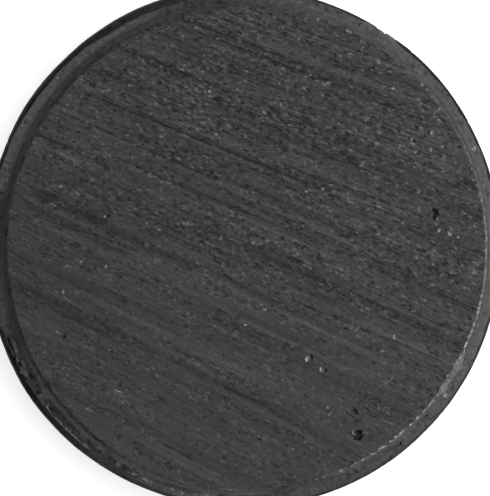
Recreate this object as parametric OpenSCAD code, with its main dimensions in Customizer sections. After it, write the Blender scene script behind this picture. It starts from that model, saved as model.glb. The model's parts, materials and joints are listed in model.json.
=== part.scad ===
// Disc magnet: one piece of hard ferrite, pressed, sintered and ground on both pole faces.
// Origin at the centre of the lower pole face, +Z along the magnet's axis, millimetres.

/* [Disc] */
// Outside diameter, over the pressed wall
disc_d = 20; // [16:0.5:30]
// Thickness, from pole face to pole face
disc_h = 3; // [2.5:0.25:6]

/* [Pressed rim] */
// Width of the sloping rim, from the edge of the ground pole face out to the wall
rim_w = 0.7; // [0.65:0.05:1]
// Depth of the rim's outer corner below the pole face
rim_drop = 0.8; // [0.6:0.05:1]
// Share of the rim's width that its steep shoulder takes
shoulder_share = 0.32; // [0.3:0.02:0.44]
// Slope of the land outside the shoulder, in degrees below level
land_slope = 10; // [5:5:30]
// Radius of the hollow between the shoulder and the land
hollow_r = 0.15; // [0.05:0.05:0.15]
// Radius of the rounded outer corner, between the land and the wall
corner_r = 0.2; // [0.1:0.05:0.2]

/* [Damage] */
// Width of the largest pit in the upper pole face
pit_w = 0.4; // [0.2:0.05:0.6]
// Depth of the deepest chip, from where the upper outer corner would be if it were sharp
chip_depth = 0.2; // [0.15:0.01:0.25]

/* [Hidden] */

disc_r = disc_d / 2;
half_h = disc_h / 2;
face_r = disc_r - rim_w;
shoulder_w = rim_w * shoulder_share;
land_w = rim_w - shoulder_w;
corner_z = half_h - rim_drop;
foot_z = corner_z + land_w * tan(land_slope);
arc_steps = 5;

// Pits in the upper face: angle about the axis, share of the face's radius, share of pit_w
pits = [
    [301, 0.89, 1.0],
    [304, 0.81, 0.5],
    [302, 0.59, 0.6],
    [300, 0.52, 0.6],
    [11, 0.80, 0.7],
    [165, 0.60, 0.5],
    [59, 0.84, 0.4],
    [249, 0.93, 0.4],
];
// A pit is a ball set this share of its width above the face, so it is a little less than half deep
pit_lift = 0.1;

// Chips along the upper outer corner: angle about the axis, radius of the flake's ball, share of chip_depth
chips = [
    [24, 0.5, 0.7],
    [43, 0.5, 0.9],
    [57, 0.4, 1.0],
    [112, 6, 0.8],
    [121, 3, 0.7],
    [197, 0.6, 1.0],
    [204, 0.5, 0.8],
    [214, 0.7, 0.9],
    [222, 0.4, 0.6],
];

// Unit vector along v
function unit(v) = v / norm(v);

// Points of an arc of radius r that rounds the corner b between its neighbours a and c
function rounded(a, b, c, r) =
    let (
        to_a = unit(a - b),
        to_c = unit(c - b),
        half_angle = acos(to_a * to_c) / 2,
        centre = b + unit(to_a + to_c) * r / sin(half_angle),
        first = b + to_a * r / tan(half_angle) - centre,
        last = b + to_c * r / tan(half_angle) - centre
    )
    [for (i = [0 : arc_steps]) centre + r * unit(first * (1 - i / arc_steps) + last * i / arc_steps)];

// Half section of the upper half, with z measured from the middle of the thickness
upper_half = let (
        face_edge = [face_r, half_h],
        foot = [face_r + shoulder_w, foot_z],
        corner = [disc_r, corner_z]
    )
    concat(
        [[0, half_h], face_edge],
        rounded(face_edge, foot, corner, hollow_r),
        rounded(foot, corner, [disc_r, 0], corner_r)
    );

// The lower half mirrors the upper one, because the two punches are alike
lower_half = [for (i = [len(upper_half) - 1 : -1 : 0]) [upper_half[i].x, -upper_half[i].y]];

module pressed_blank() {
    translate([0, 0, half_h])
        rotate_extrude($fn = 180)
            polygon(concat(upper_half, lower_half));
}

module pit(angle, face_share, width_share) {
    width = pit_w * width_share;
    rotate([0, 0, angle])
        translate([face_r * face_share, 0, disc_h + width * pit_lift])
            sphere(d = width, $fn = 24);
}

module chip(angle, ball_r, depth_share) {
    reach = (ball_r - chip_depth * depth_share) * sin(45);
    rotate([0, 0, angle])
        translate([disc_r + reach, 0, half_h + corner_z + reach])
            sphere(r = ball_r, $fn = 96);
}

module magnet_disc() {
    color([0.25, 0.25, 0.26])
        difference() {
            pressed_blank();
            for (p = pits)
                pit(p[0], p[1], p[2]);
            for (c = chips)
                chip(c[0], c[1], c[2]);
        }
}

magnet_disc();
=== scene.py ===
import json
import math
import random

import bmesh
import bpy
from mathutils import Matrix, Vector

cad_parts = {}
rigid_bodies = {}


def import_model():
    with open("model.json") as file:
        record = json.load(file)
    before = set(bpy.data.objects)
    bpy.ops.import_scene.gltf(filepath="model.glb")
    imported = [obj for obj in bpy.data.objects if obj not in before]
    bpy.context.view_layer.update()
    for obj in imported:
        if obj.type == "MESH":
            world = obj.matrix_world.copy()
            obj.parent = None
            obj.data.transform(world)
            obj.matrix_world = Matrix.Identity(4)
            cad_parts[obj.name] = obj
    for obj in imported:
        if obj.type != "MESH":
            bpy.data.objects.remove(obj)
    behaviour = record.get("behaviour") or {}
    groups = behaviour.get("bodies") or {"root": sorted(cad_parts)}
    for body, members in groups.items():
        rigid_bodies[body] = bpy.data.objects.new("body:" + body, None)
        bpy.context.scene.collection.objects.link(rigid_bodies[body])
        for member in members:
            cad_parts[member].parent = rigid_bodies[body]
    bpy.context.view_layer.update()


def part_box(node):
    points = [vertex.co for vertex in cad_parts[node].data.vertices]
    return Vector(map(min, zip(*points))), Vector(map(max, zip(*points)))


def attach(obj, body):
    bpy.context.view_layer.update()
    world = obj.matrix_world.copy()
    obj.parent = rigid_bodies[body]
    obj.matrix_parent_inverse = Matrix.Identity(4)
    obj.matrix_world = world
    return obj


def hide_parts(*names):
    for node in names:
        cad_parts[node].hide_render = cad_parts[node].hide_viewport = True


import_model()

mm = 0.001
discNode = "magnet_disc"
low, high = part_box(discNode)
discRadius = (high.x - low.x) / 2
discHeight = high.z - low.z
middle = low.z + discHeight / 2

# The pressed blank: its rim is the same above and below
blankValues = {
    "around": 1200,  # steps round the rim
    "rimWidth": 0.7 * mm,  # ground face's edge to wall
    "rimDrop": 0.8 * mm,  # ground face down to the outer corner
    "shoulderShare": 0.32,  # part of the rim's width that is steep
    "landSlope": math.radians(10),
    "hollowRadius": 0.15 * mm,
    "cornerRadius": 0.2 * mm,
    "edgeRadius": 0.09 * mm,  # worn edge between the shoulder and the ground face
    "steps": {1: (7, 2, 4, 7, 3), -1: (3, 1, 2, 3, 2)},  # corner, land, hollow, shoulder, edge, by side
    "wallSteps": 6,
    "grindingStock": 0.08 * mm,  # stands above the ground face until it is ground off
    "stockLean": 0.3,  # how far that stock leans inwards, for its height
    "nearWall": 0.995,  # from this share of the radius out, a point is on the wall
    "nearLevel": 0.9,  # an end face's normal points up or down by at least this
    "smoothAngle": math.radians(35),
    "unevenness": (1.6, 0.03 * mm, 1.0),  # grain in millimetres, depth, level that stays in place
    "sinterGrain": (0.2, 0.016 * mm, 0.8),
    # Where the lower half of the wall stands in or out: bearing and half length in degrees, how far out,
    # and how far the change reaches
    "wallFoot": [
        (180, 21, -0.07 * mm, 2.6 * mm),
        (64, 5, -0.035 * mm, 2.0 * mm),
        (114, 12, 0.03 * mm, 1.2 * mm),
        (111, 8, 0.03 * mm, 1.2 * mm),
        (108, 4, 0.02 * mm, 1.2 * mm),
    ],
}


def clearSelection():
    if bpy.context.object and bpy.context.object.mode != "OBJECT":
        bpy.ops.object.mode_set(mode="OBJECT")
    bpy.ops.object.select_all(action="DESELECT")


def pickOnly(piece):
    clearSelection()
    piece.select_set(True)
    bpy.context.view_layer.objects.active = piece


def startEdit(piece, part="FACE"):
    pickOnly(piece)
    bpy.ops.object.mode_set(mode="EDIT")
    bpy.ops.mesh.select_mode(type=part)
    bpy.ops.mesh.select_all(action="DESELECT")


# Selects the faces, edges or vertices that pass a test, in edit mode
def selectParts(piece, kind, test):
    shape = bmesh.from_edit_mesh(piece.data)
    for part in getattr(shape, kind):
        part.select_set(test(part))
    bmesh.update_edit_mesh(piece.data)


def applyAll(piece):
    pickOnly(piece)
    for name in [modifier.name for modifier in piece.modifiers]:
        bpy.ops.object.modifier_apply(modifier=name)


# Points of the arc that rounds corner b between its neighbours a and c
def roundCorner(a, b, c, radius, steps):
    toA, toC = (a - b).normalized(), (c - b).normalized()
    half = toA.angle(toC) / 2
    centre = b + (toA + toC).normalized() * radius / math.sin(half)
    first = b + toA * radius / math.tan(half) - centre
    last = b + toC * radius / math.tan(half) - centre
    return [centre + first.lerp(last, i / steps).normalized() * radius for i in range(steps + 1)]


def spread(a, b, steps):
    return [a.lerp(b, i / steps) for i in range(1, steps)]


# The rim from the wall in to the face, as (radius, height above the middle)
def rimPath(v, steps):
    cornerSteps, landSteps, hollowSteps, shoulderSteps, edgeSteps = steps
    wall = Vector((discRadius, 0))
    centre = Vector((0, discHeight / 2))
    faceEdge = Vector((discRadius - v["rimWidth"], discHeight / 2))
    landWidth = v["rimWidth"] * (1 - v["shoulderShare"])
    corner = Vector((discRadius, discHeight / 2 - v["rimDrop"]))
    foot = corner + Vector((-landWidth, landWidth * math.tan(v["landSlope"])))
    cornerArc = roundCorner(wall, corner, foot, v["cornerRadius"], cornerSteps)
    hollowArc = roundCorner(corner, foot, faceEdge, v["hollowRadius"], hollowSteps)
    edgeArc = roundCorner(foot, faceEdge, centre, v["edgeRadius"], edgeSteps)
    stock = edgeArc[-1] + Vector((-v["stockLean"], 1)) * v["grindingStock"]
    return (cornerArc + spread(cornerArc[-1], hollowArc[0], landSteps) + hollowArc
            + spread(hollowArc[-1], edgeArc[0], shoulderSteps) + edgeArc + [stock])


def buildBlank(v):
    wallTop = rimPath(v, v["steps"][1])[0].y
    clearSelection()
    bpy.ops.mesh.primitive_cylinder_add(vertices=v["around"], radius=discRadius, depth=2 * wallTop,
                                        location=(0, 0, middle))
    blank = bpy.context.object
    blank.name = "magnetDisc"
    for side, steps in v["steps"].items():
        path = rimPath(v, steps)
        startEdit(blank)
        selectParts(blank, "faces", lambda face: face.normal.z * side > v["nearLevel"])
        for outer, inner in zip(path, path[1:]):
            bpy.ops.mesh.inset(thickness=outer.x - inner.x, use_even_offset=True)
            bpy.ops.transform.translate(value=(0, 0, side * (inner.y - outer.y)))
    startEdit(blank, "EDGE")
    selectParts(blank, "edges", lambda edge: abs(edge.verts[0].co.z - edge.verts[1].co.z) > wallTop)
    bpy.ops.mesh.subdivide(number_cuts=v["wallSteps"])
    bpy.ops.object.mode_set(mode="OBJECT")
    bpy.ops.object.transform_apply()
    bendWall(blank, v)
    return blank


def bendWall(blank, v):
    startEdit(blank, "VERT")
    for bearing, half, out, reach in v["wallFoot"]:
        outward = aroundAxis(math.radians(bearing), 1.0, 0.0)

        def onFoot(vertex):
            flat = Vector((vertex.co.x, vertex.co.y, 0))
            onWall = flat.length > v["nearWall"] * discRadius
            return onWall and vertex.co.z < middle and flat.angle(outward) < math.radians(half)

        bpy.ops.mesh.select_all(action="DESELECT")
        selectParts(blank, "verts", onFoot)
        bpy.ops.transform.translate(value=outward * out, use_proportional_edit=True,
                                    proportional_edit_falloff="SMOOTH", proportional_size=reach)
    bpy.ops.object.mode_set(mode="OBJECT")


# A texture is measured by an empty, so that its size is in that empty's units
def addRuler(name, size):
    clearSelection()
    bpy.ops.object.empty_add(type="PLAIN_AXES")
    ruler = bpy.context.object
    ruler.name = name
    ruler.scale = size
    bpy.context.view_layer.update()
    return ruler


def displace(piece, name, grain, depth, ruler, direction="NORMAL", level=1.0):
    texture = bpy.data.textures.new(name, "CLOUDS")
    texture.noise_scale = grain
    texture.noise_depth = 1
    modifier = piece.modifiers.new(name, "DISPLACE")
    modifier.texture = texture
    modifier.texture_coords = "OBJECT"
    modifier.texture_coords_object = ruler
    modifier.direction = direction
    modifier.strength = depth
    modifier.mid_level = level


# Broad unevenness from the die and fine grain from sintering, mostly inward from the pressed size
def roughenBlank(blank, v, ruler):
    for name in ("unevenness", "sinterGrain"):
        grain, depth, level = v[name]
        displace(blank, name, grain, depth, ruler, level=level)
    applyAll(blank)


# The grinding marks: long straight furrows that fan out a little
grindValues = {
    "slabWidth": 2.1 * discRadius,
    "slabDepth": 1.3 * discHeight,
    "direction": math.radians(-24.3),  # from +X, seen from above
    "fan": 8.4,  # widening per metre along the marks
    "sides": {1: (800, 56), -1: (240, 24)},  # rows across and columns along the marks, by face
    "furrows": {  # length, width, depth
        "fine": (6 * mm, 0.05 * mm, 0.005 * mm),
        "wide": (12 * mm, 0.3 * mm, 0.008 * mm),
    },
    "scratchDepth": 0.004 * mm,  # of one whose darkness is 1
    "leastScratch": 0.06,  # width that the rows can still hold, millimetres
}

# The scratches that stand out, in millimetres before they fan out: start and end along the marks,
# offset across them at the start and at the end, width, and darkness, which is below 0 on a bright one
scratches = [
    (-4.8, 4.2, 7.9, 7.74, 0.07, 0.9), (-0.5, 4.9, 7.74, 7.7, 0.2, 1.1),
    (-3.5, 3.0, 8.5, 8.5, 0.25, 0.7), (-7.5, 2.0, 5.35, 5.41, 0.07, 0.8),
    (-7.9, 1.8, 3.09, 3.21, 0.11, 1.7), (-6.4, -4.8, 3.3, 3.18, 0.14, 1.2),
    (-0.3, 6.2, 3.51, 3.75, 0.09, 1.5), (2.0, 8.6, 2.86, 3.14, 0.07, 0.9),
    (-8.9, -1.9, 1.97, 1.94, 0.09, 1.2), (-8.7, -1.9, 0.2, 0.05, 0.1, 0.8),
    (-2.7, 9.0, 0.02, 0.1, 0.14, 1.2), (2.3, 8.9, -1.1, -0.76, 0.07, 0.8),
    (-8.7, -1.1, -1.5, -1.56, 0.4, 1.4), (-8.3, -5.3, -1.33, -1.34, 0.3, 0.9),
    (-8.8, -3.4, -1.78, -1.76, 0.12, -0.6), (-8.3, -3.4, -2.39, -1.8, 0.1, 0.7),
    (-3.8, -1.7, -0.8, -0.75, 0.09, 0.9), (0.5, 3.6, -0.08, 0.04, 0.1, 0.8),
    (0.2, 5.6, -2.42, -2.38, 0.25, 1.0), (-9.0, -3.6, -1.97, -2.0, 0.14, 0.6),
    (-4.5, -1.5, 4.1, 4.0, 0.25, 0.5), (-0.4, 3.2, -1.39, -1.37, 0.07, 0.8),
    (-8.9, -3.8, -2.07, -2.24, 0.2, 1.0), (-6.4, -4.1, -4.16, -4.14, 0.3, 0.6),
    (-8.2, 7.0, -5.13, -5.18, 0.3, 0.45), (-8.3, -3.0, -5.1, -5.12, 0.4, 0.45),
    (1.0, 3.2, -5.16, -5.08, 0.08, 1.0), (-1.5, 1.0, -7.12, -7.07, 0.07, 0.7),
    (-3.1, 0.5, 5.93, 5.97, 0.06, -0.8), (1.8, 6.3, 5.66, 5.8, 0.07, -0.9),
    (3.5, 8.0, 5.75, 5.85, 0.35, -0.45), (-5.3, -2.6, 5.5, 5.54, 0.12, -0.7),
    (-4.3, -0.9, 5.05, 5.11, 0.08, -0.8), (2.1, 4.4, 3.3, 3.44, 0.09, -1.9),
    (0.9, 3.7, 1.88, 1.72, 0.14, -0.6), (1.6, 3.0, 0.19, 0.15, 0.07, -0.9),
    (-8.3, -7.1, 0.39, 0.45, 0.1, -1.3), (-8.6, -5.2, -3.75, -3.72, 0.35, -0.6),
    (0.5, 4.0, 5.0, 5.0, 0.4, -0.6), (3.0, 8.0, 4.5, 4.75, 0.25, -0.7),
    (-1.2, 9.2, 1.44, 1.62, 0.16, -1.0), (-2.0, 9.0, -0.45, -0.1, 0.25, -0.4),
    (-3.8, -1.9, 1.8, 1.83, 0.06, -0.9), (4.8, 6.9, -0.74, -0.71, 0.1, -0.9),
    (-3.9, -2.7, -3.59, -3.6, 0.08, -1.2), (0.8, 4.4, -4.3, -4.1, 0.08, -0.9),
    (6.9, 8.6, -3.62, -3.58, 0.09, -1.0), (-2.5, -1.9, -7.23, -7.22, 0.06, -1.8),
]


def cutScratch(slab, v, scratch):
    start, end, offset, endOffset, width, darkness = scratch
    half = max(width, v["leastScratch"]) / 2

    def inScratch(vertex):
        along, across = vertex.co.x / mm, vertex.co.y / mm
        line = offset + (endOffset - offset) * (along - start) / (end - start)
        return start < along < end and abs(across - line) < half

    bpy.ops.mesh.select_all(action="DESELECT")
    selectParts(slab, "verts", inScratch)
    bpy.ops.transform.translate(value=(0, 0, -v["scratchDepth"] * abs(darkness)))


# A block that holds what grinding leaves: its outer face has the furrows
def buildSlab(v, side, rulers):
    rows, columns = v["sides"][side]
    clearSelection()
    bpy.ops.mesh.primitive_grid_add(x_subdivisions=columns, y_subdivisions=rows, size=v["slabWidth"],
                                    location=(0, 0, middle + discHeight / 2))
    slab = bpy.context.object
    slab.name = "grindingSlab"
    bpy.ops.object.transform_apply()
    for name, furrow in v["furrows"].items():
        displace(slab, name, 1.0, furrow[-1], rulers[name], "Z")
    applyAll(slab)
    if side > 0:
        startEdit(slab, "VERT")
        for scratch in scratches:
            cutScratch(slab, v, scratch)
        bpy.ops.object.mode_set(mode="OBJECT")
    fan = slab.modifiers.new("fan", "SIMPLE_DEFORM")
    fan.deform_method = "TAPER"
    fan.deform_axis = "X"
    fan.factor = v["fan"] * v["slabWidth"]
    fan.lock_z = True
    applyAll(slab)
    startEdit(slab)
    bpy.ops.mesh.select_all(action="SELECT")
    bpy.ops.mesh.extrude_region_move(TRANSFORM_OT_translate={"value": (0, 0, -v["slabDepth"])})
    bpy.ops.transform.resize(value=(1, 1, 0))
    bpy.ops.mesh.dissolve_faces()
    bpy.ops.mesh.select_all(action="SELECT")
    bpy.ops.mesh.normals_make_consistent()
    bpy.ops.object.mode_set(mode="OBJECT")
    slab.location = (0, 0, 0 if side > 0 else discHeight)
    slab.rotation_euler = (0 if side > 0 else math.pi, 0, v["direction"])
    return slab


def cutWith(piece, tool, how):
    bpy.context.view_layer.update()
    pickOnly(piece)
    modifier = piece.modifiers.new("cut", "BOOLEAN")
    modifier.operation = how
    modifier.solver = "MANIFOLD"
    modifier.material_mode = "TRANSFER"
    if isinstance(tool, bpy.types.Collection):
        modifier.operand_type = "COLLECTION"
        modifier.collection = tool
    else:
        modifier.object = tool
    bpy.ops.object.modifier_apply(modifier="cut")


# Damage, in millimetres: pits and breaks in the face, flakes off the rim, nicks along the edges
damageValues = {
    "seed": 11,
    # A dark pit's near-black colour is painted shadow
    "pits": [  # x, y, length, width, turn from +X in degrees of a dark one
        (7.25, 1.48, 0.24, 0.19, 0), (7.34, 1.34, 0.26, 0.24, 90), (7.26, 1.18, 0.24, 0.19, 80),
        (2.5, -4.19, 0.3, 0.13, 100), (3.05, -4.67, 0.18, 0.15, 80), (4.35, -7.2, 0.48, 0.3, 85),
        (4.33, -7.1, 0.32, 0.3, 50), (4.2, -7.27, 0.24, 0.2, 60), (4.2, -6.25, 0.3, 0.15, 125),
        (-5.33, 1.28, 0.14, 0.12, 30), (-3.04, -8.18, 0.15, 0.13, 0), (6.48, 4.11, 0.16, 0.13, 60),
        (-6.66, 4.11, 0.12, 0.12, 0), (-5.2, -3.92, 0.13, 0.13, 0), (-7.04, -3.36, 0.18, 0.14, 20),
        (-2.1, 3.65, 0.13, 0.11, 0), (6.3, -2.35, 0.13, 0.11, 0), (7.14, -4.04, 0.13, 0.1, 0),
    ],
    "pitDepth": 0.55,  # for its width, as are the other depths here
    # Bright breaks take a colour that is partly a painted glint
    "breaks": [  # the same for bright ones
        (-5.47, 1.25, 0.1, 0.1, 0), (7.85, 0.56, 0.24, 0.16, 130),
        (8.18, 0.42, 0.14, 0.12, 0), (7.45, 0.7, 0.18, 0.13, 60), (6.03, 0.95, 0.1, 0.1, 0),
        (7.12, 3.81, 0.18, 0.12, 90), (7.17, 4.44, 0.18, 0.16, 60), (6.53, 3.71, 0.18, 0.12, 20),
        (7.56, 3.91, 0.12, 0.1, 0), (6.38, 4.2, 0.12, 0.08, 60), (5.7, -3.39, 0.2, 0.1, 90),
        (5.25, -3.93, 0.14, 0.1, 0), (4.01, 8.3, 0.14, 0.1, 80), (0.25, 0.23, 0.15, 0.12, 0),
        (0.66, 5.22, 0.16, 0.1, 150), (2.3, 2.19, 0.14, 0.1, 0), (5.1, 1.62, 0.18, 0.1, -24),
        (-4.93, -5.44, 0.46, 0.06, -24), (2.34, -4.23, 0.26, 0.2, 60), (2.88, -4.66, 0.24, 0.2, 80),
        (-5.3, -3.85, 0.08, 0.06, 0), (-7.06, -1.63, 0.1, 0.18, 0), (-7.17, 2.4, 0.18, 0.15, 0),
        (-5.41, -0.66, 0.12, 0.16, 0), (-1.42, 6.03, 0.16, 0.12, -24), (5.66, 6.14, 0.2, 0.11, -24),
        (0.7, -2.33, 0.16, 0.12, 0), (-0.04, -2.91, 0.16, 0.1, 0), (-0.93, -0.62, 0.1, 0.2, 0),
    ],
    "breakDepth": 0.35,
    "scuffs": [  # and for duller ones
        (4.13, -7.06, 0.22, 0.16, 80), (-6.07, -6.13, 0.3, 0.16, -24), (-7.23, -3.18, 0.34, 0.12, -30),
        (-6.33, -0.45, 0.3, 0.14, 20), (-6.91, -0.64, 0.18, 0.14, 0), (-7.46, 1.71, 0.3, 0.12, -24),
        (-6.87, 5.51, 0.22, 0.16, 30), (2.75, 0.84, 0.16, 0.2, 0), (-4.49, 6.26, 0.16, 0.14, 0),
        (5.63, -4.92, 0.34, 0.07, 62), (5.42, -5.14, 0.3, 0.07, 42), (5.2, -5.26, 0.2, 0.06, 14),
        (5.11, -6.1, 0.28, 0.08, 105), (3.16, -6.1, 0.26, 0.13, 30), (3.22, -6.33, 0.22, 0.12, 20),
    ],
    "flakes": [  # angle round the axis, radius, length and width of a bright break on the rim
        (23.1, 9.71, 0.2, 0.26), (323.9, 9.66, 0.2, 0.2), (231, 9.73, 0.24, 0.14),
        (253.2, 9.65, 0.26, 0.12), (217.2, 9.74, 0.4, 0.08), (192.2, 9.6, 0.36, 0.14),
        (201.2, 9.84, 0.5, 0.12), (202.2, 9.62, 0.26, 0.1), (164.5, 9.71, 0.24, 0.14),
        (161, 9.74, 0.2, 0.12), (143.2, 9.68, 0.3, 0.12), (138, 9.75, 0.28, 0.12),
        (243.8, 9.66, 0.3, 0.12), (248.2, 9.65, 0.2, 0.1), (255.8, 9.69, 0.3, 0.13),
        (258.7, 9.66, 0.22, 0.12), (237.1, 9.42, 0.26, 0.12), (226, 9.71, 0.2, 0.12),
    ],
    "dullFlakes": [  # the same for duller ones
        (44.4, 9.69, 0.42, 0.32), (208.7, 9.82, 0.4, 0.14), (205.9, 9.76, 0.34, 0.14),
        (209.6, 9.7, 0.4, 0.14), (203, 9.61, 0.8, 0.2), (197.4, 9.74, 0.3, 0.16), (199, 9.6, 0.4, 0.1),
        (194.6, 9.7, 0.4, 0.14), (190.4, 9.64, 0.4, 0.14), (211.2, 9.86, 0.4, 0.1), (187, 9.6, 0.5, 0.12),
        (181, 9.62, 0.3, 0.1), (222, 9.49, 0.3, 0.14), (133, 9.76, 0.3, 0.12), (207.4, 9.6, 0.5, 0.14),
    ],
    "flakeDepth": 0.3,
    # Dark rim hollows are chip shadows, painted near-black
    "hollows": [  # the same for dark ones
        (207, 9.72, 0.26, 0.14), (203, 9.9, 0.5, 0.14), (199.4, 9.88, 0.5, 0.16), (210.5, 9.8, 0.3, 0.12),
        (214.5, 9.68, 0.24, 0.12), (202, 9.74, 0.8, 0.13), (200.2, 9.5, 0.3, 0.1), (195.4, 9.86, 0.4, 0.14),
        (219.2, 9.67, 0.3, 0.12), (235.9, 9.44, 0.24, 0.1), (192.8, 9.46, 0.24, 0.1),
        (205.2, 9.78, 0.24, 0.12),
    ],
    "hollowDepth": 0.6,
    "beads": [  # angle, radius and size of the larger breaks on the face's edge
        (339.8, 9.3, 0.14), (333.7, 9.28, 0.15), (326.6, 9.24, 0.08), (318.5, 9.3, 0.11),
        (313.5, 9.36, 0.14), (310.9, 9.26, 0.16), (308.9, 9.27, 0.1), (306.8, 9.27, 0.1),
        (303.8, 9.25, 0.12), (301.3, 9.23, 0.1), (299.2, 9.27, 0.12), (297.2, 9.24, 0.1),
        (286, 9.29, 0.07), (72.6, 9.21, 0.12), (69.5, 9.32, 0.12), (65, 9.22, 0.12), (42.7, 9.24, 0.14),
        (41.2, 9.26, 0.1), (39.1, 9.24, 0.09), (37.6, 9.26, 0.12), (35.6, 9.19, 0.14), (19.4, 9.23, 0.08),
        (15.3, 9.23, 0.08),
    ],
    "bites": [  # angle, length and depth of a sliver off the wall's upper part
        (60.4, 0.5, 0.05), (57.5, 0.7, 0.09), (54.7, 0.5, 0.06), (48.3, 0.4, 0.03), (38, 0.5, 0.02),
        (28, 0.5, 0.03), (345, 0.4, 0.02), (322, 0.5, 0.03), (303, 0.4, 0.03),
    ],
    "biteThickness": 0.2,
    "biteHeight": 15,  # times its depth
    "edgeBites": [  # angle, radius, length and width of a dull break in the face's edge
        (334.2, 9.36, 0.4, 0.2), (331.6, 9.34, 0.6, 0.3), (328.4, 9.32, 0.5, 0.32),
        (325.1, 9.32, 0.5, 0.26), (321.8, 9.34, 0.4, 0.2), (36.5, 9.3, 0.3, 0.14), (212, 9.3, 0.4, 0.1),
        (255, 9.32, 0.5, 0.12),
    ],
    "edgeBiteDepth": 0.5,
    "faceEdgeReach": 9.4,  # a mark nearer to the axis than this is in the face's edge
    "toolLift": 0.2,  # how far a tool's middle stands above the surface, for its depth
    # Nicks that show a pit take its near-black painted-shadow colour
    "nicks": [  # which edge, what it shows, from and to angle, count, least and largest size
        ("face", "break", 292, 392, 52, 0.05, 0.12),
        ("face", "pit", 32, 285, 80, 0.03, 0.09),
        ("face", "skin", 96, 262, 46, 0.1, 0.32),
        ("corner", "pit", 0, 360, 60, 0.03, 0.08),
        ("corner", "pit", 140, 225, 45, 0.05, 0.14),
        ("corner", "pit", 283, 345, 45, 0.04, 0.11),
        ("lowerCorner", "break", 94, 126, 60, 0.05, 0.15),
        ("lowerFace", "break", 0, 360, 40, 0.04, 0.12),
        ("lowerCorner", "break", 0, 360, 40, 0.04, 0.12),
        ("face", "skin", 100, 160, 30, 0.12, 0.3),
        ("face", "break", 294, 368, 44, 0.08, 0.14),
    ],
    "nickLift": 0.3,  # how far out a nick's middle stands from its edge, for its size
    "nickHalf": (0.5, 0.8),  # half its width and depth, for its size
    "nickHalfLength": (0.8, 1.5),
    "cornerShare": 0.25,  # how far its rounding lowers the corner, for its radius
    "cornerInset": 0.02 * mm,
    "toolJitter": 0.24,  # how uneven the tools are
    "toolSwell": 0.6,  # and how much of that is along their normals
}


def makeFlakeTool(v, seed, material):
    clearSelection()
    bpy.ops.mesh.primitive_ico_sphere_add(subdivisions=2, radius=1.0)
    tool = bpy.context.object
    startEdit(tool, "VERT")
    bpy.ops.mesh.select_all(action="SELECT")
    bpy.ops.transform.vertex_random(offset=v["toolJitter"], uniform=1.0, normal=v["toolSwell"], seed=seed)
    bpy.ops.object.mode_set(mode="OBJECT")
    tool.data.materials.append(material)
    return tool


# A copy of the tool with its own mesh, stretched to the flake's half sizes
def placeTool(tool, box, place, size, turn):
    flake = tool.copy()
    flake.data = tool.data.copy()
    flake.location = place
    flake.scale = size
    flake.rotation_euler = (0, 0, turn)
    box.objects.link(flake)


def aroundAxis(angle, radius, height):
    return Vector((radius * math.cos(angle), radius * math.sin(angle), height))


def landHeight(radius):
    inward = discRadius - radius
    return high.z - blankValues["rimDrop"] + inward * math.tan(blankValues["landSlope"])


# Height of the rim's surface: the land, or the shoulder inside its foot
def rimHeight(radius):
    faceRadius = discRadius - blankValues["rimWidth"]
    shoulderWidth = blankValues["rimWidth"] * blankValues["shoulderShare"]
    drop = high.z - landHeight(faceRadius + shoulderWidth)
    return max(landHeight(radius), high.z - drop * (radius - faceRadius) / shoulderWidth)


def placeFaceMarks(cut, v):
    marks = (("scuff", "scuffs", "breakDepth"), ("pit", "pits", "pitDepth"),
             ("break", "breaks", "breakDepth"))
    for kind, places, share in marks:
        for x, y, length, width, turn in v[places]:
            depth = width * v[share] * mm
            place = (x * mm, y * mm, high.z + v["toolLift"] * depth)
            cut(kind, place, (length * mm / 2, width * mm / 2, depth), math.radians(turn))


def placeRimMarks(cut, v):
    marks = (("break", "flakes", "flakeDepth"), ("scuff", "dullFlakes", "flakeDepth"),
             ("pit", "hollows", "hollowDepth"), ("scuff", "edgeBites", "edgeBiteDepth"))
    for kind, places, share in marks:
        for angle, radius, length, width in v[places]:
            turn = math.radians(angle)
            depth = v[share] * width * mm
            onEdge = radius < v["faceEdgeReach"]
            height = high.z if onEdge else rimHeight(radius * mm) + v["toolLift"] * depth
            cut(kind, aroundAxis(turn, radius * mm, height), (width * mm / 2, length * mm / 2, depth), turn)


# Slivers off the wall, as wide and deep as stated where the tool passes the wall
def placeBites(cut, v, height):
    thick = v["biteThickness"]
    for angle, length, depth in v["bites"]:
        turn = math.radians(angle)
        half = 0.5 * length / math.sqrt(1 - (1 - depth / thick) ** 2)
        place = aroundAxis(turn, discRadius + (thick - depth) * mm, height)
        cut("skin", place, (thick * mm, half * mm, v["biteHeight"] * depth * mm), turn)


def placeBeads(cut, v):
    for angle, radius, size in v["beads"]:
        turn = math.radians(angle)
        cut("break", aroundAxis(turn, radius * mm, high.z), (size * mm / 2,) * 3, turn)


def placeNicks(cut, draw, v, cornerDrop):
    faceRadius = discRadius - blankValues["rimWidth"]
    edges = {
        "face": (faceRadius, high.z),
        "corner": (discRadius - v["cornerInset"], high.z - cornerDrop),
        "lowerFace": (faceRadius, low.z),
        "lowerCorner": (discRadius, low.z + cornerDrop),
    }
    for edge, kind, fromAngle, toAngle, count, least, largest in v["nicks"]:
        radius, height = edges[edge]
        for i in range(count):
            turn = math.radians(draw.uniform(fromAngle, toAngle))
            size = (least + (largest - least) * draw.random() ** 2) * mm
            place = aroundAxis(turn, radius + v["nickLift"] * size, height)
            halves = [size * draw.uniform(*v[half]) for half in ("nickHalf", "nickHalfLength", "nickHalf")]
            cut(kind, place, halves, turn)


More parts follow.
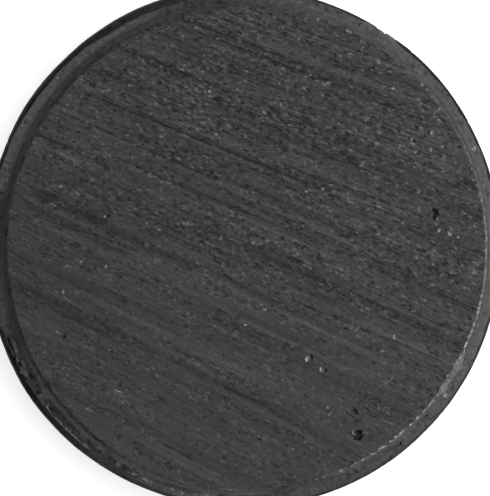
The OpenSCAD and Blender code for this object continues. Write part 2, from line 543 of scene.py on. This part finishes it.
def addDamage(blank, v, materials):
    box = bpy.data.collections.new("flakeTools")
    bpy.context.scene.collection.children.link(box)
    draw = random.Random(v["seed"])
    seeds = {"break": range(4), "pit": range(4, 7), "scuff": range(7, 10), "skin": range(10, 13)}
    tools = {kind: [makeFlakeTool(v, seed, materials[kind]) for seed in seeds[kind]] for kind in seeds}

    def cut(kind, place, size, turn):
        placeTool(draw.choice(tools[kind]), box, place, size, turn)

    cornerDrop = blankValues["rimDrop"] + v["cornerShare"] * blankValues["cornerRadius"]
    placeFaceMarks(cut, v)
    placeRimMarks(cut, v)
    placeBites(cut, v, high.z - cornerDrop)
    placeBeads(cut, v)
    placeNicks(cut, draw, v, cornerDrop)
    for tool in sum(tools.values(), []):
        bpy.data.objects.remove(tool)
    cutWith(blank, box, "DIFFERENCE")
    for tool in list(box.objects):
        bpy.data.objects.remove(tool)
    bpy.data.collections.remove(box)


# Shader building: a node, its settings and its input values in one call
def addNode(tree, kind, inputs=None, **settings):
    node = tree.nodes.new("ShaderNode" + kind)
    for key, value in settings.items():
        setattr(node, key, value)
    for key, value in (inputs or {}).items():
        setInput(tree, node, key, value)
    return node


def setInput(tree, node, key, value):
    if isinstance(value, bpy.types.NodeSocket):
        tree.links.new(value, node.inputs[key])
    else:
        node.inputs[key].default_value = value


def newGroup(name, inputs, outputs):
    tree = bpy.data.node_groups.new(name, "ShaderNodeTree")
    for socket, value in inputs.items():
        given = tree.interface.new_socket(socket, in_out="INPUT", socket_type="NodeSocketFloat")
        given.default_value = value
    for socket in outputs:
        tree.interface.new_socket(socket, in_out="OUTPUT", socket_type="NodeSocketFloat")
    return tree, tree.nodes.new("NodeGroupInput").outputs, tree.nodes.new("NodeGroupOutput").inputs


def placeGroup(tree, group, **inputs):
    node = tree.nodes.new("ShaderNodeGroup")
    node.node_tree = group
    for key, value in inputs.items():
        setInput(tree, node, key, value)
    return node.outputs


def calc(tree, operation, a, b=0.0, c=0.0, clamp=False):
    return addNode(tree, "Math", {0: a, 1: b, 2: c}, operation=operation, use_clamp=clamp).outputs[0]


def remap(tree, value, fromLow, fromHigh, toLow=0.0, toHigh=1.0, smooth=False):
    return addNode(tree, "MapRange", {"Value": value, "From Min": fromLow, "From Max": fromHigh,
                                      "To Min": toLow, "To Max": toHigh},
                   interpolation_type="SMOOTHSTEP" if smooth else "LINEAR").outputs["Result"]


def times(tree, value, *others):
    for other in others:
        value = calc(tree, "MULTIPLY", value, other)
    return value


# A value swayed by a noise, up to half the reach each way
def sway(tree, value, noise, reach):
    return calc(tree, "MULTIPLY_ADD", calc(tree, "SUBTRACT", noise, 0.5), reach, value)


# Lays one value over another, as far as the amount goes from 0 to 1
def cover(tree, value, amount, over):
    return remap(tree, amount, 0.0, 1.0, value, over)


# A point's place in millimetres: along and across the grinding marks with their fan taken out, height over
# the middle, distance from the axis, and bearing round it in degrees
def makePlaceGroup():
    tree, given, out = newGroup("discPlace", {}, ["Along", "Across", "Height", "Radius", "Bearing"])
    place = addNode(tree, "TexCoord").outputs["Object"]
    turned = addNode(tree, "Mapping", {"Vector": place, "Location": (0, 0, -middle / mm),
                                       "Rotation": (0, 0, -grindValues["direction"]),
                                       "Scale": (1 / mm, 1 / mm, 1 / mm)}).outputs[0]
    parts = addNode(tree, "SeparateXYZ", {0: turned}).outputs
    widening = calc(tree, "MULTIPLY_ADD", parts[0], grindValues["fan"] * mm, 1.0)
    tree.links.new(parts[0], out["Along"])
    tree.links.new(calc(tree, "DIVIDE", parts[1], widening), out["Across"])
    tree.links.new(parts[2], out["Height"])
    flat = addNode(tree, "SeparateXYZ", {0: place}).outputs
    squares = calc(tree, "MULTIPLY_ADD", flat[1], flat[1], calc(tree, "MULTIPLY", flat[0], flat[0]))
    tree.links.new(calc(tree, "DIVIDE", calc(tree, "SQRT", squares), mm), out["Radius"])
    turn = calc(tree, "ARCTAN2", flat[1], flat[0])
    tree.links.new(calc(tree, "DEGREES", turn), out["Bearing"])
    return tree


# 1 within a stretch of the rim, fading to 0 beyond it; degrees
def makeStretchGroup(discPlace):
    tree, given, out = newGroup("rimStretch", {"Middle": 0.0, "Half": 30.0, "Fade": 10.0}, ["Inside"])
    bearing = placeGroup(tree, discPlace)["Bearing"]
    aside = calc(tree, "SUBTRACT", bearing, given["Middle"])
    aside = calc(tree, "ABSOLUTE", calc(tree, "WRAP", aside, 180.0, -180.0))
    end = calc(tree, "ADD", given["Half"], given["Fade"])
    tree.links.new(remap(tree, aside, given["Half"], end, 1.0, 0.0, smooth=True), out["Inside"])
    return tree


# A level with what changes it within stretches of the rim: middle, half length, fade, change
def alongRim(tree, groups, level, changes):
    for middleAngle, half, fade, change in changes:
        inside = placeGroup(tree, groups["stretch"], Middle=middleAngle, Half=half, Fade=fade)[0]
        level = calc(tree, "MULTIPLY_ADD", inside, change, level)
    return level


# Where a noise's peaks and dips begin and are full
speckValues = {
    "peaks": (0.62, 0.83),
    "dips": (0.38, 0.18),
}


# Keeps a noise's peaks and dips, and little of what lies between
def peaksAndDips(tree, noise, peak, dip, rest):
    value = times(tree, calc(tree, "SUBTRACT", noise, 0.5), rest)
    value = calc(tree, "ADD", value, remap(tree, noise, *speckValues["peaks"], 0.0, peak, smooth=True))
    return calc(tree, "SUBTRACT", value, remap(tree, noise, *speckValues["dips"], 0.0, dip, smooth=True))


# A point's place counted in lengths and widths of a grain, so that noise there runs along the marks
def stretchPlace(tree, discPlace, given):
    place = placeGroup(tree, discPlace)
    return addNode(tree, "CombineXYZ", {0: calc(tree, "DIVIDE", place["Along"], given["Length"]),
                                        1: calc(tree, "DIVIDE", place["Across"], given["Width"]),
                                        2: calc(tree, "ADD", place["Height"], given["Seed"])}).outputs[0]


# Streaks along the grinding marks, from 0 to 1; sizes in millimetres
def makeMarksGroup(discPlace):
    sockets = {"Length": 6.0, "Width": 0.05, "Detail": 1.0, "Roughness": 0.6, "Seed": 0.0}
    tree, given, out = newGroup("grindingMarks", sockets, ["Streaks"])
    noise = addNode(tree, "TexNoise", {"Vector": stretchPlace(tree, discPlace, given), "Scale": 1.0,
                                       "Detail": given["Detail"], "Roughness": given["Roughness"]})
    tree.links.new(noise.outputs["Fac"], out["Streaks"])
    return tree


# Broken grains, each cell at a level of its own, from 0 to 1
def makeCrumbsGroup(discPlace):
    tree, given, out = newGroup("brokenGrains", {"Length": 0.13, "Width": 0.09, "Seed": 0.0}, ["Level"])
    cells = addNode(tree, "TexVoronoi", {"Vector": stretchPlace(tree, discPlace, given), "Scale": 1.0})
    tree.links.new(addNode(tree, "SeparateXYZ", {0: cells.outputs["Color"]}).outputs[0], out["Level"])
    return tree


# The colour of the scratches; they drift from their straight lines by up to half of wander, millimetres
scratchValues = {
    "endSharpness": 12.0,
    "wander": 0.08,
    "drift": {"Length": 2.5, "Width": 1.5, "Detail": 1.0, "Seed": 30.0},
}


# One scratch: its darkness on its line, 0 beyond its width and its ends
def makeScratchGroup(v):
    sockets = {"Along": 0.0, "Across": 0.0, "From": 0.0, "To": 1.0, "Offset": 0.0, "End Offset": 0.0,
               "Width": 0.1, "Darkness": 1.0}
    tree, given, out = newGroup("scratchLine", sockets, ["Mask"])
    share = remap(tree, given["Along"], given["From"], given["To"])
    line = remap(tree, share, 0.0, 1.0, given["Offset"], given["End Offset"])
    aside = calc(tree, "ABSOLUTE", calc(tree, "SUBTRACT", given["Across"], line))
    body = remap(tree, aside, 0.0, given["Width"], given["Darkness"], 0.0, smooth=True)
    ends = times(tree, share, calc(tree, "SUBTRACT", 1.0, share))
    ends = calc(tree, "MULTIPLY", ends, v["endSharpness"], clamp=True)
    tree.links.new(times(tree, body, ends), out["Mask"])
    return tree


# All the scratches that stand out on the upper face; bright ones count below 0
def makeScratchesGroup(v, discPlace, marks):
    tree, given, out = newGroup("longScratches", {"Wander": v["wander"]}, ["Darkness"])
    line = makeScratchGroup(v)
    place = placeGroup(tree, discPlace)
    across = sway(tree, place["Across"], placeGroup(tree, marks, **v["drift"])[0], given["Wander"])
    total = 0.0
    for start, end, offset, endOffset, width, darkness in scratches:
        mask = placeGroup(tree, line, Along=place["Along"], Across=across, From=start, To=end, Offset=offset,
                          Width=width, Darkness=darkness, **{"End Offset": endOffset})[0]
        total = calc(tree, "ADD", total, mask)
    above = calc(tree, "GREATER_THAN", place["Height"], 0.0)
    tree.links.new(times(tree, total, above), out["Darkness"])
    return tree


# Even grain of a sintered ceramic, from 0 to 1; size in millimetres
def makeGrainGroup():
    tree, given, out = newGroup("sinterGrain", {"Size": 0.08, "Detail": 2.0, "Roughness": 0.6}, ["Grain"])
    place = addNode(tree, "TexCoord").outputs["Object"]
    scale = calc(tree, "DIVIDE", 1 / mm, given["Size"])
    noise = addNode(tree, "TexNoise", {"Vector": place, "Scale": scale, "Detail": given["Detail"],
                                       "Roughness": given["Roughness"]})
    tree.links.new(noise.outputs["Fac"], out["Grain"])
    return tree


def newMaterial(name, roughness, specular):
    material = bpy.data.materials.new(name)
    material.use_nodes = True
    tree = material.node_tree
    shader = tree.nodes["Principled BSDF"]
    shader.inputs["Roughness"].default_value = roughness
    shader.inputs["Specular IOR Level"].default_value = specular
    return material, tree, shader


def mixColours(tree, amount, first, second):
    ends = [(*end, 1) if isinstance(end, tuple) else end for end in (first, second)]
    return addNode(tree, "Mix", {"Factor": amount, 6: ends[0], 7: ends[1]}, data_type="RGBA").outputs[2]


# Colour times shade into the shader, and height into its normal; the relief is its depth and its strength
def finishMaterial(tree, shader, colour, shade, height, relief):
    depth, strength = relief
    scaled = addNode(tree, "VectorMath", {0: colour, 3: shade}, operation="SCALE").outputs[0]
    tree.links.new(scaled, shader.inputs["Base Color"])
    bump = addNode(tree, "Bump", {"Strength": strength, "Distance": depth, "Height": height})
    tree.links.new(bump.outputs[0], shader.inputs["Normal"])


faceValues = {
    "roughness": 0.55,
    "specular": 0.15,
    "relief": (0.014 * mm, 0.6),
    "cool": (0.0349, 0.035, 0.036),
    "warm": (0.0354, 0.0353, 0.0348),
    "streaks": {"Length": 10.0, "Width": 0.5, "Detail": 3.0, "Roughness": 0.7, "Seed": 10.0},
    "rows": {"Length": 4.0, "Width": 0.35, "Detail": 2.0, "Roughness": 0.7, "Seed": 14.0},
    "lines": {"Length": 14.0, "Width": 0.2, "Detail": 2.0, "Roughness": 0.65, "Seed": 12.0},
    "dashes": {"Length": 0.6, "Width": 0.07, "Detail": 2.0, "Roughness": 0.6, "Seed": 22.0},
    "grain": {"Length": 0.19, "Width": 0.12, "Detail": 3.0, "Roughness": 0.65, "Seed": 18.0},
    "crumbs": {"Length": 0.13, "Width": 0.09, "Seed": 26.0},
    "crumbShare": 0.32,
    "gains": {"streaks": 1.8, "rows": 0.12, "scratches": 0.45},
    "lineRelief": (1.2, 1.15, 2.0),  # peaks, dips and the rest
    "dashRelief": (0.9, 1.6, 1.1),
    "grainRelief": (2.2, 1.3, 2.2),
    "rough": (-6.0, 7.0, 0.5, 1.12),  # from and to this far across the marks, and how rough it is there
    "clumps": (0.35, 0.65, 0.4, 1.6),  # the rows' span, and how rough they are at its ends
    "tint": (2.6, 0.4, 0.6),  # its grain in millimetres, and where it is cool and warm
    "darkest": 0.15,
}


def groundMaterial(v, groups):
    material, tree, shader = newMaterial("groundFerrite", v["roughness"], v["specular"])
    layers = {name: placeGroup(tree, groups["marks"], **v[name])[0]
              for name in ("streaks", "rows", "lines", "dashes", "grain")}
    across = placeGroup(tree, groups["place"])["Across"]
    rough = remap(tree, across, *v["rough"], smooth=True)
    clump = times(tree, rough, remap(tree, layers["rows"], *v["clumps"]))
    crumbs = placeGroup(tree, groups["crumbs"], **v["crumbs"])[0]
    grain = sway(tree, layers["grain"], crumbs, v["crumbShare"])
    broken = calc(tree, "ADD", peaksAndDips(tree, grain, *v["grainRelief"]),
                  peaksAndDips(tree, layers["dashes"], *v["dashRelief"]))
    lines = times(tree, peaksAndDips(tree, layers["lines"], *v["lineRelief"]), rough)
    relief = calc(tree, "ADD", times(tree, broken, clump), lines)
    darkness = placeGroup(tree, groups["scratches"])[0]
    relief = calc(tree, "MULTIPLY_ADD", darkness, -v["gains"]["scratches"], relief)
    shade = calc(tree, "ADD", relief, 1.0)
    for name in ("streaks", "rows"):
        shade = sway(tree, shade, layers[name], v["gains"][name])
    shade = calc(tree, "MAXIMUM", shade, v["darkest"])
    tintSize, cool, warm = v["tint"]
    tint = remap(tree, placeGroup(tree, groups["grain"], Size=tintSize)[0], cool, warm)
    colour = mixColours(tree, tint, v["cool"], v["warm"])
    finishMaterial(tree, shader, colour, shade, relief, v["relief"])
    return material


# The pressed and sintered skin. A level is a value all round the rim, then what changes it along stretches:
# each stretch's middle and half length in degrees, its fade and its change
skinValues = {
    "roughness": 0.85,
    "specular": 0.04,
    "relief": (0.012 * mm, 0.5),
    "plain": (1.0, 0.997, 0.992),
    "warm": (1.0, 0.982, 0.945),
    "levels": {
        "warmth": (0.0, [(-50, 30, 30, 1.0)]),
        # These levels are partly painted light and shade: the land is lighter on the side the lamps light
        # and brightens outwards there, while on the far side its tone is lifted and reaches up the shaded
        # shoulder; the shoulder is darker where it faces the lamps and lighter where it faces away from them
        "land": (0.062, [(20, 45, 30, 0.018), (138, 22, 12, 0.07), (-103, 10, 8, 0.05),
                         (-142, 12, 12, 0.01), (-172, 7, 8, 0.035)]),
        "outward": (0.0, [(-12, 30, 20, 1.0)]),  # where the land is lighter outwards
        "landReach": (0.0, [(-175, 14, 10, 0.22)]),  # where its tone reaches up the shoulder
        "shoulder": (0.064, [(-118, 28, 12, 0.085), (115, 35, 15, 0.02), (6, 30, 25, -0.024),
                             (-31, 4, 3, 0.06)]),
        "ring": (0.0, [(-141.6, 1.2, 1, 0.8), (-133, 4.5, 1.5, 0.7), (-112.5, 4, 2, 0.7)]),  # a worn bright line and a painted shadow line beside it
        "ringShift": (0.0, [(-112, 8, 8, 0.07)]),  # where it runs nearer to the axis
        # The wall's tone, darker than the land's, is partly painted shade
        "wall": (0.024, [(20, 45, 20, -0.01), (-112, 14, 10, 0.03), (-45, 30, 15, 0.012),
                         (-158, 10, 8, -0.014), (158, 10, 8, -0.012), (108, 14, 8, 0.012)]),
        "wallFrom": (9.86, [(-132, 22, 12, -0.05), (113, 8, 9, -0.12), (132, 8, 6, -0.04),
                            (0, 70, 15, -0.02), (57.5, 1.5, 4, 0.2)]),  # the radius where its tone starts
        "footWorn": (0.0, [(107, 5, 14, 1.0)]),  # where the wall is flecked bright below
        "faceTone": (0.058, [(-148, 20, 12, -0.012), (-105, 14, 10, 0.03)]),  # next to the ground face
        # The worn bright edge is set only where the lamps light it, so it is partly a painted glint
        "wearAndGlint": (0.0, [(-12, 12, 24, 0.46), (-27, 8, 10, 0.3), (-52, 16, 9, 0.6)]),  # its bright edge
    },
    "noises": {"fine": {"Size": 0.17}, "coarse": {"Size": 0.6}, "lumps": {"Size": 0.19, "Detail": 1.0}},
    "specks": (1.4, 0.9, 1.5),  # peaks, dips and the rest
    "patches": 1.1,
    "outwardSpan": (9.5, 9.8, -0.08, 0.1),  # from and to this radius, and how much lighter its painted highlight makes it there
    "footShare": 0.95,  # the shoulder's foot, as a share of the disc's radius
    "footSpan": (-0.02, 0.1),  # how far above the foot the shoulder's tone begins and is full
    "footSway": {"coarse": 0.5, "fine": 0.25},
    "ringRadii": (9.745, 9.81),  # its worn bright line and its painted shadow line
    "ringHalf": (0.012, 0.035),  # half their width, where they are full and where they end
    "ringLumps": (0.42, 0.6, 0.0, 1.4),
    "ringSway": 0.06,
    "ringShadowTone": 0.02,
    "wallSway": {"fine": 0.08, "coarse": 0.2},
    "wallSharpness": 25.0,
    "wallTop": 0.02,  # it is never more than this far above the shoulder's foot
    "midWall": (0.45, 0.3),  # how far from the middle the wall's darker tone, partly painted shade, begins and is full
    "midWallSway": 0.9,
    "fleckSpan": (0.2, -0.5),  # how high over the middle the flecks begin and are full
    "fleckSway": 2.0,
    "flecks": (0.42, 0.6, 0.1, 1.0),  # the fine noise's span, and how bright it is at its ends
    "faceToneSpan": (0.35, 0.05),  # how far below the face it begins and is full
    "wornSpan": (0.3, 0.18),
    "wornSway": 0.6,
    "wornPatches": (0.35, 0.55, 0.4, 1.0),
    "wearAndGlintTone": 0.3,
    "beadSize": 0.17 * mm,
    "beadFall": (0.27, 0.5, 1.1, 0.06),  # distance from its middle, and how bright it is there
    "beadChance": (0.15, 0.75, 0.2, 2.2),
}


# The land, and the shoulder above its foot, with a painted highlight where the land turns outwards on the
# lamps' side
def landAndShoulder(tree, v, at):
    height = at["fromMiddle"]
    for name, reach in v["footSway"].items():
        height = sway(tree, height, at[name], reach)
    height = calc(tree, "SUBTRACT", height, at["landReach"])
    onShoulder = remap(tree, height, *[at["footLevel"] + above for above in v["footSpan"]])
    outwardHighlight = times(tree, remap(tree, at["radius"], *v["outwardSpan"]), at["outward"])
    land = times(tree, at["land"], calc(tree, "ADD", outwardHighlight, 1.0))
    return cover(tree, land, onShoulder, at["shoulder"])


# A worn bright line along the land, and a painted shadow line just outside it
def addRing(tree, v, at, tone):
    ring = times(tree, at["ring"], remap(tree, at["lumps"], *v["ringLumps"]))
    place = calc(tree, "ADD", sway(tree, at["radius"], at["fine"], v["ringSway"]), at["ringShift"])
    for radius, lineTone in zip(v["ringRadii"], (v["wearAndGlintTone"], v["ringShadowTone"])):
        aside = calc(tree, "ABSOLUTE", calc(tree, "SUBTRACT", place, radius))
        line = times(tree, ring, remap(tree, aside, *v["ringHalf"], 1.0, 0.0))
        tone = cover(tree, tone, line, lineTone)
    return tone


# The wall, darker in part as painted shade, with its flecks low down
def addWall(tree, v, at, tone):
    radius = at["radius"]
    for name, reach in v["wallSway"].items():
        radius = sway(tree, radius, at[name], reach)
    beyond = calc(tree, "SUBTRACT", radius, at["wallFrom"])
    onWall = calc(tree, "MULTIPLY", beyond, v["wallSharpness"], clamp=True)
    midWall = remap(tree, sway(tree, at["fromMiddle"], at["coarse"], v["midWallSway"]), *v["midWall"])
    below = remap(tree, at["fromMiddle"], at["footLevel"], at["footLevel"] + v["wallTop"], 1.0, 0.0)
    tone = cover(tree, tone, times(tree, calc(tree, "MAXIMUM", onWall, midWall), below), at["wall"])
    low = remap(tree, sway(tree, at["height"], at["coarse"], v["fleckSway"]), *v["fleckSpan"])
    flecks = times(tree, low, remap(tree, at["fine"], *v["flecks"]), at["footWorn"])
    return cover(tree, tone, flecks, v["wearAndGlintTone"])


# Round beads of fresh break, each at a brightness of its own, on a faint ground; on the bright edge they are
# partly a painted glint
def brokenBeads(tree, v):
    place = addNode(tree, "TexCoord").outputs["Object"]
    cells = addNode(tree, "TexVoronoi", {"Vector": place, "Scale": 1 / v["beadSize"]})
    chance = addNode(tree, "SeparateXYZ", {0: cells.outputs["Color"]}).outputs[0]
    bead = remap(tree, cells.outputs["Distance"], *v["beadFall"])
    return times(tree, bead, remap(tree, chance, *v["beadChance"]))


# Next to the ground face, where the edge is worn bright in beads only on the lamps' side: wear and a painted
# glint
def addFaceEdge(tree, v, at, tone):
    face = discHeight / 2 / mm
    toneSpan, wornSpan = [[face - under for under in v[name]] for name in ("faceToneSpan", "wornSpan")]
    tone = remap(tree, at["fromMiddle"], *toneSpan, tone, at["faceTone"])
    edge = remap(tree, sway(tree, at["fromMiddle"], at["lumps"], v["wornSway"]), *wornSpan)
    patches = remap(tree, at["coarse"], *v["wornPatches"])
    return cover(tree, tone, times(tree, edge, brokenBeads(tree, v), patches, at["wearAndGlint"]), v["wearAndGlintTone"])


def skinMaterial(v, groups):
    material, tree, shader = newMaterial("sinteredSkin", v["roughness"], v["specular"])
    place = placeGroup(tree, groups["place"])
    at = {name: placeGroup(tree, groups["grain"], **size)[0] for name, size in v["noises"].items()}
    at.update({name: alongRim(tree, groups, *level) for name, level in v["levels"].items()})
    at["height"] = place["Height"]
    at["radius"] = place["Radius"]
    at["fromMiddle"] = calc(tree, "ABSOLUTE", place["Height"])
    at["footLevel"] = (landHeight(discRadius * v["footShare"]) - middle) / mm
    tone = landAndShoulder(tree, v, at)
    for step in (addRing, addWall, addFaceEdge):
        tone = step(tree, v, at, tone)
    shade = calc(tree, "ADD", peaksAndDips(tree, at["fine"], *v["specks"]), 1.0)
    shade = sway(tree, shade, at["coarse"], v["patches"])
    colour = mixColours(tree, at["warmth"], v["plain"], v["warm"])
    finishMaterial(tree, shader, colour, times(tree, tone, shade), at["fine"], v["relief"])
    return material


breakValues = {
    "roughness": 0.4,
    "grain": 0.09,  # millimetres
    "mix": (0.35, 0.65),  # the grain's span from the darkest colour to the lightest
    "relief": (0.015 * mm, 0.5),
    "kinds": {  # name, darkest and lightest colour, and specular level
        # A bright break's light colour is partly a painted glint
        "break": ("freshBreakAndGlint", (0.1, 0.099, 0.097), (0.28, 0.278, 0.27), 0.4),
        "scuff": ("dullBreak", (0.05, 0.0496, 0.049), (0.14, 0.139, 0.136), 0.3),
        # A pit's near-black wall colour is painted shadow
        "pit": ("pitWallShadow", (0.006, 0.006, 0.006), (0.018, 0.018, 0.018), 0.1),
    },
}


def breakMaterial(v, kind, groups):
    name, dark, light, specular = v["kinds"][kind]
    material, tree, shader = newMaterial(name, v["roughness"], specular)
    grain = placeGroup(tree, groups["grain"], Size=v["grain"])[0]
    colour = mixColours(tree, remap(tree, grain, *v["mix"]), dark, light)
    finishMaterial(tree, shader, colour, 1.0, grain, v["relief"])
    return material


viewValues = {
    "distance": 0.3,
    "lean": math.radians(6.9),  # off the disc's axis
    "towards": math.radians(170.5),  # bearing of the camera, from +X
    "aim": (0.017 * mm, 0.017 * mm),
    "frameTall": 19.05 * mm,  # height of the view at the rim's outer corner
}


def addCamera(v):
    camera = bpy.data.cameras.new("view")
    viewer = bpy.data.objects.new("view", camera)
    bpy.context.scene.collection.objects.link(viewer)
    aim = Vector((v["aim"][0], v["aim"][1], high.z - blankValues["rimDrop"]))
    bearing = Vector((math.cos(v["towards"]), math.sin(v["towards"]), 0))
    back = bearing * math.sin(v["lean"]) + Vector((0, 0, 1)) * math.cos(v["lean"])
    right = Vector((0, 1, 0)).cross(back).normalized()
    up = back.cross(right)
    turn = Matrix((right, up, back)).transposed().to_4x4()
    viewer.matrix_world = Matrix.Translation(aim + back * v["distance"]) @ turn
    camera.lens = camera.sensor_width * v["distance"] / v["frameTall"]
    bpy.context.scene.camera = viewer


lightValues = {
    "ambient": 0.2,
    "overhead": {"bearing": 30, "elevation": 72, "distance": 0.2, "size": 0.14, "strength": 0.42},
    "side": {"bearing": 0, "elevation": 22, "distance": 0.1, "size": 0.03, "strength": 0.38},
}


# A lamp's strength is how bright a flat white surface looks under it
def addLamp(name, lamp):
    bearing, elevation = math.radians(lamp["bearing"]), math.radians(lamp["elevation"])
    light = bpy.data.lights.new(name, "AREA")
    light.size = lamp["size"]
    light.energy = lamp["strength"] * math.pi ** 2 * lamp["distance"] ** 2 / math.sin(elevation)
    holder = bpy.data.objects.new(name, light)
    bpy.context.scene.collection.objects.link(holder)
    away = Vector((math.cos(bearing) * math.cos(elevation), math.sin(bearing) * math.cos(elevation),
                   math.sin(elevation)))
    holder.location = away * lamp["distance"]
    holder.rotation_mode = "QUATERNION"
    holder.rotation_quaternion = away.to_track_quat("Z", "Y")


def addLights(v):
    addLamp("overhead", v["overhead"])
    addLamp("side", v["side"])
    world = bpy.data.worlds.new("studio")
    bpy.context.scene.world = world
    world.use_nodes = True
    tree = world.node_tree
    tree.links.new(remap(tree, seenDirectly(tree), 0.0, 1.0, v["ambient"], 1.0),
                   tree.nodes["Background"].inputs["Strength"])
    tree.nodes["Background"].inputs["Color"].default_value = (1, 1, 1, 1)


# 1 for what the camera sees, straight or in gloss or glass
def seenDirectly(tree):
    path = addNode(tree, "LightPath").outputs
    return calc(tree, "MAXIMUM", path["Is Camera Ray"],
                calc(tree, "MAXIMUM", path["Is Glossy Ray"], path["Is Transmission Ray"]))


floorValues = {
    "size": 3.0,
    "colour": (0.8, 0.8, 0.8),
    "roughness": 0.9,
    "glow": 0.75,  # only as the camera sees it, so it lights nothing
}


def addFloor(v):
    clearSelection()
    bpy.ops.mesh.primitive_plane_add(size=v["size"], location=(0, 0, low.z))
    floor = bpy.context.object
    floor.name = "floor"
    material, tree, shader = newMaterial("paleFloor", v["roughness"], 0.0)
    shader.inputs["Base Color"].default_value = (*v["colour"], 1)
    shader.inputs["Emission Color"].default_value = (1, 1, 1, 1)
    glow = calc(tree, "MULTIPLY", seenDirectly(tree), v["glow"])
    tree.links.new(glow, shader.inputs["Emission Strength"])
    floor.data.materials.append(material)


placeTree = makePlaceGroup()
marksTree = makeMarksGroup(placeTree)
groups = {
    "place": placeTree,
    "stretch": makeStretchGroup(placeTree),
    "marks": marksTree,
    "crumbs": makeCrumbsGroup(placeTree),
    "scratches": makeScratchesGroup(scratchValues, placeTree, marksTree),
    "grain": makeGrainGroup(),
}
materials = {
    "skin": skinMaterial(skinValues, groups),
    "ground": groundMaterial(faceValues, groups),
}
for kind in breakValues["kinds"]:
    materials[kind] = breakMaterial(breakValues, kind, groups)
print("materials:", len(materials))
blank = buildBlank(blankValues)
blank.data.materials.append(materials["skin"])
print("pressed blank:", len(blank.data.polygons), "faces")
millimetres = addRuler("millimetres", (mm, mm, mm))
roughenBlank(blank, blankValues, millimetres)
rulers = {name: addRuler(name, (length, width, mm))
          for name, (length, width, depth) in grindValues["furrows"].items()}
for side in grindValues["sides"]:
    slab = buildSlab(grindValues, side, rulers)
    slab.data.materials.append(materials["ground"])
    cutWith(blank, slab, "INTERSECT")
    bpy.data.objects.remove(slab)
print("ground:", len(blank.data.polygons), "faces")
addDamage(blank, damageValues, materials)
print("damaged:", len(blank.data.polygons), "faces")
for ruler in [millimetres, *rulers.values()]:
    bpy.data.objects.remove(ruler)
pickOnly(blank)
bpy.ops.object.shade_smooth_by_angle(angle=blankValues["smoothAngle"])
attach(blank, "root")
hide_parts(discNode)

addFloor(floorValues)
addLights(lightValues)
addCamera(viewValues)
bpy.context.scene.view_settings.view_transform = "Standard"
bpy.context.view_layer.update()
